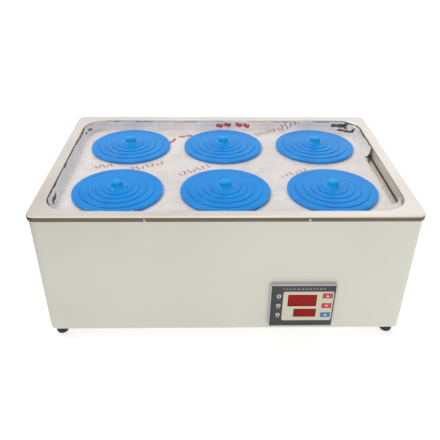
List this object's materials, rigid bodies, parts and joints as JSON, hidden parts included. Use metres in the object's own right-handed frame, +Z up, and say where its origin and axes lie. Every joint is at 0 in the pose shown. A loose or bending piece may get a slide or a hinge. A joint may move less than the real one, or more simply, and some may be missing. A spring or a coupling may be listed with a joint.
{
  "type": "water bath",
  "caption": "Electric laboratory water bath: an enamelled casing with a stainless rim, a lift-out deck with holes closed by nested ring lids, and a front temperature controller.",
  "frame": {"origin": "middle of the bounding box, at the level of the feet's undersides", "axes": "+X to the user's right along the longest side, +Y from the controller towards the back, +Z up"},
  "size_m": [0.511, 0.376, 0.208],
  "materials": {
    "enamel": "warm off-white powder coat",
    "base_steel": "galvanised",
    "rim_steel": "bright, lightly brushed stainless steel",
    "tank_steel": "drawn stainless steel",
    "deck_steel": "bright stainless steel",
    "shelf_steel": "perforated stainless steel",
    "insulation": "glass-wool blanket",
    "heater_steel": "heat-tinted stainless tube",
    "probe_steel": "satin",
    "brass": "machined",
    "bezel_silver": "silver-grey satin plastic",
    "panel_black": "printed black face with a cream field",
    "housing_black": "black moulded plastic",
    "rocker_black": "polished black plastic",
    "display_red": "translucent red filter",
    "circuit_board": "green board with soldered parts",
    "light_pipe": "clear moulded plastic",
    "button_red": "red membrane key",
    "button_blue": "blue membrane key",
    "lever_red": "red vinyl sleeve",
    "foot_rubber": "black rubber",
    "lid_blue": "polished blue plastic"
  },
  "bodies": {
    "bath": {"casing_shell": "enamel", "base_plate": "base_steel", "top_frame": "rim_steel", "bath_tank": "tank_steel", "perforated_shelf": "shelf_steel", "insulation_jacket": "insulation", "heater_tube": "heater_steel", "heater_gland_front": "brass", "heater_gland_back": "brass", "temperature_probe": "probe_steel", "controller_bezel": "bezel_silver", "controller_face": "panel_black", "controller_housing": "housing_black", "display_window_upper": "display_red", "display_window_lower": "display_red", "display_board": "circuit_board", "indicator_light_pipe": "light_pipe", "power_board": "circuit_board", "power_inlet": "housing_black", "drain_valve": "brass", "foot_front_left": "foot_rubber", "foot_front_right": "foot_rubber", "foot_back_left": "foot_rubber", "foot_back_right": "foot_rubber"},
    "deck": {"deck_plate": "deck_steel"},
    "ring_1_back_left": {"ring_1_back_left": "lid_blue"},
    "ring_2_back_left": {"ring_2_back_left": "lid_blue"},
    "ring_3_back_left": {"ring_3_back_left": "lid_blue"},
    "ring_4_back_left": {"ring_4_back_left": "lid_blue"},
    "cap_back_left": {"cap_back_left": "lid_blue"},
    "ring_1_back_middle": {"ring_1_back_middle": "lid_blue"},
    "ring_2_back_middle": {"ring_2_back_middle": "lid_blue"},
    "ring_3_back_middle": {"ring_3_back_middle": "lid_blue"},
    "ring_4_back_middle": {"ring_4_back_middle": "lid_blue"},
    "cap_back_middle": {"cap_back_middle": "lid_blue"},
    "ring_1_back_right": {"ring_1_back_right": "lid_blue"},
    "ring_2_back_right": {"ring_2_back_right": "lid_blue"},
    "ring_3_back_right": {"ring_3_back_right": "lid_blue"},
    "ring_4_back_right": {"ring_4_back_right": "lid_blue"},
    "cap_back_right": {"cap_back_right": "lid_blue"},
    "ring_1_front_left": {"ring_1_front_left": "lid_blue"},
    "ring_2_front_left": {"ring_2_front_left": "lid_blue"},
    "ring_3_front_left": {"ring_3_front_left": "lid_blue"},
    "ring_4_front_left": {"ring_4_front_left": "lid_blue"},
    "cap_front_left": {"cap_front_left": "lid_blue"},
    "ring_1_front_middle": {"ring_1_front_middle": "lid_blue"},
    "ring_2_front_middle": {"ring_2_front_middle": "lid_blue"},
    "ring_3_front_middle": {"ring_3_front_middle": "lid_blue"},
    "ring_4_front_middle": {"ring_4_front_middle": "lid_blue"},
    "cap_front_middle": {"cap_front_middle": "lid_blue"},
    "ring_1_front_right": {"ring_1_front_right": "lid_blue"},
    "ring_2_front_right": {"ring_2_front_right": "lid_blue"},
    "ring_3_front_right": {"ring_3_front_right": "lid_blue"},
    "ring_4_front_right": {"ring_4_front_right": "lid_blue"},
    "cap_front_right": {"cap_front_right": "lid_blue"},
    "button_up": {"button_up": "button_red"},
    "button_down": {"button_down": "button_red"},
    "button_set": {"button_set": "button_blue"},
    "rocker": {"rocker_switch": "rocker_black"},
    "drain_lever": {"drain_lever": "lever_red"}
  },
  "joints": [
    {"name": "press_button_up", "type": "slide", "parent": "bath", "child": "button_up", "axis": [0, 1, 0], "range_m": [0, 0.0008], "stiffness_N_per_m": 600, "springref_m": -0.001},
    {"name": "press_button_down", "type": "slide", "parent": "bath", "child": "button_down", "axis": [0, 1, 0], "range_m": [0, 0.0008], "stiffness_N_per_m": 600, "springref_m": -0.001},
    {"name": "press_button_set", "type": "slide", "parent": "bath", "child": "button_set", "axis": [0, 1, 0], "range_m": [0, 0.0008], "stiffness_N_per_m": 600, "springref_m": -0.001},
    {"name": "rocker_tilt", "type": "hinge", "parent": "bath", "child": "rocker", "pos_m": [0.172, 0.15915, 0.056], "axis": [1, 0, 0], "range_deg": [0, 20]},
    {"name": "drain_lever_turn", "type": "hinge", "parent": "bath", "child": "drain_lever", "pos_m": [-0.15, 0.17035, 0.099], "axis": [0, 0, 1], "range_deg": [0, 90]},
    {"name": "deck_lift", "type": "slide", "parent": "bath", "child": "deck", "axis": [0, 0, 1], "range_m": [0, 0.12]},
    {"name": "lift_ring_1_back_left", "type": "slide", "parent": "deck", "child": "ring_1_back_left", "axis": [0, 0, 1], "range_m": [0, 0.08]},
    {"name": "lift_ring_2_back_left", "type": "slide", "parent": "ring_1_back_left", "child": "ring_2_back_left", "axis": [0, 0, 1], "range_m": [0, 0.05]},
    {"name": "lift_ring_3_back_left", "type": "slide", "parent": "ring_2_back_left", "child": "ring_3_back_left", "axis": [0, 0, 1], "range_m": [0, 0.05]},
    {"name": "lift_ring_4_back_left", "type": "slide", "parent": "ring_3_back_left", "child": "ring_4_back_left", "axis": [0, 0, 1], "range_m": [0, 0.05]},
    {"name": "lift_cap_back_left", "type": "slide", "parent": "ring_4_back_left", "child": "cap_back_left", "axis": [0, 0, 1], "range_m": [0, 0.05]},
    {"name": "lift_ring_1_back_middle", "type": "slide", "parent": "deck", "child": "ring_1_back_middle", "axis": [0, 0, 1], "range_m": [0, 0.08]},
    {"name": "lift_ring_2_back_middle", "type": "slide", "parent": "ring_1_back_middle", "child": "ring_2_back_middle", "axis": [0, 0, 1], "range_m": [0, 0.05]},
    {"name": "lift_ring_3_back_middle", "type": "slide", "parent": "ring_2_back_middle", "child": "ring_3_back_middle", "axis": [0, 0, 1], "range_m": [0, 0.05]},
    {"name": "lift_ring_4_back_middle", "type": "slide", "parent": "ring_3_back_middle", "child": "ring_4_back_middle", "axis": [0, 0, 1], "range_m": [0, 0.05]},
    {"name": "lift_cap_back_middle", "type": "slide", "parent": "ring_4_back_middle", "child": "cap_back_middle", "axis": [0, 0, 1], "range_m": [0, 0.05]},
    {"name": "lift_ring_1_back_right", "type": "slide", "parent": "deck", "child": "ring_1_back_right", "axis": [0, 0, 1], "range_m": [0, 0.08]},
    {"name": "lift_ring_2_back_right", "type": "slide", "parent": "ring_1_back_right", "child": "ring_2_back_right", "axis": [0, 0, 1], "range_m": [0, 0.05]},
    {"name": "lift_ring_3_back_right", "type": "slide", "parent": "ring_2_back_right", "child": "ring_3_back_right", "axis": [0, 0, 1], "range_m": [0, 0.05]},
    {"name": "lift_ring_4_back_right", "type": "slide", "parent": "ring_3_back_right", "child": "ring_4_back_right", "axis": [0, 0, 1], "range_m": [0, 0.05]},
    {"name": "lift_cap_back_right", "type": "slide", "parent": "ring_4_back_right", "child": "cap_back_right", "axis": [0, 0, 1], "range_m": [0, 0.05]},
    {"name": "lift_ring_1_front_left", "type": "slide", "parent": "deck", "child": "ring_1_front_left", "axis": [0, 0, 1], "range_m": [0, 0.08]},
    {"name": "lift_ring_2_front_left", "type": "slide", "parent": "ring_1_front_left", "child": "ring_2_front_left", "axis": [0, 0, 1], "range_m": [0, 0.05]},
    {"name": "lift_ring_3_front_left", "type": "slide", "parent": "ring_2_front_left", "child": "ring_3_front_left", "axis": [0, 0, 1], "range_m": [0, 0.05]},
    {"name": "lift_ring_4_front_left", "type": "slide", "parent": "ring_3_front_left", "child": "ring_4_front_left", "axis": [0, 0, 1], "range_m": [0, 0.05]},
    {"name": "lift_cap_front_left", "type": "slide", "parent": "ring_4_front_left", "child": "cap_front_left", "axis": [0, 0, 1], "range_m": [0, 0.05]},
    {"name": "lift_ring_1_front_middle", "type": "slide", "parent": "deck", "child": "ring_1_front_middle", "axis": [0, 0, 1], "range_m": [0, 0.08]},
    {"name": "lift_ring_2_front_middle", "type": "slide", "parent": "ring_1_front_middle", "child": "ring_2_front_middle", "axis": [0, 0, 1], "range_m": [0, 0.05]},
    {"name": "lift_ring_3_front_middle", "type": "slide", "parent": "ring_2_front_middle", "child": "ring_3_front_middle", "axis": [0, 0, 1], "range_m": [0, 0.05]},
    {"name": "lift_ring_4_front_middle", "type": "slide", "parent": "ring_3_front_middle", "child": "ring_4_front_middle", "axis": [0, 0, 1], "range_m": [0, 0.05]},
    {"name": "lift_cap_front_middle", "type": "slide", "parent": "ring_4_front_middle", "child": "cap_front_middle", "axis": [0, 0, 1], "range_m": [0, 0.05]},
    {"name": "lift_ring_1_front_right", "type": "slide", "parent": "deck", "child": "ring_1_front_right", "axis": [0, 0, 1], "range_m": [0, 0.08]},
    {"name": "lift_ring_2_front_right", "type": "slide", "parent": "ring_1_front_right", "child": "ring_2_front_right", "axis": [0, 0, 1], "range_m": [0, 0.05]},
    {"name": "lift_ring_3_front_right", "type": "slide", "parent": "ring_2_front_right", "child": "ring_3_front_right", "axis": [0, 0, 1], "range_m": [0, 0.05]},
    {"name": "lift_ring_4_front_right", "type": "slide", "parent": "ring_3_front_right", "child": "ring_4_front_right", "axis": [0, 0, 1], "range_m": [0, 0.05]},
    {"name": "lift_cap_front_right", "type": "slide", "parent": "ring_4_front_right", "child": "cap_front_right", "axis": [0, 0, 1], "range_m": [0, 0.05]}
  ]
}
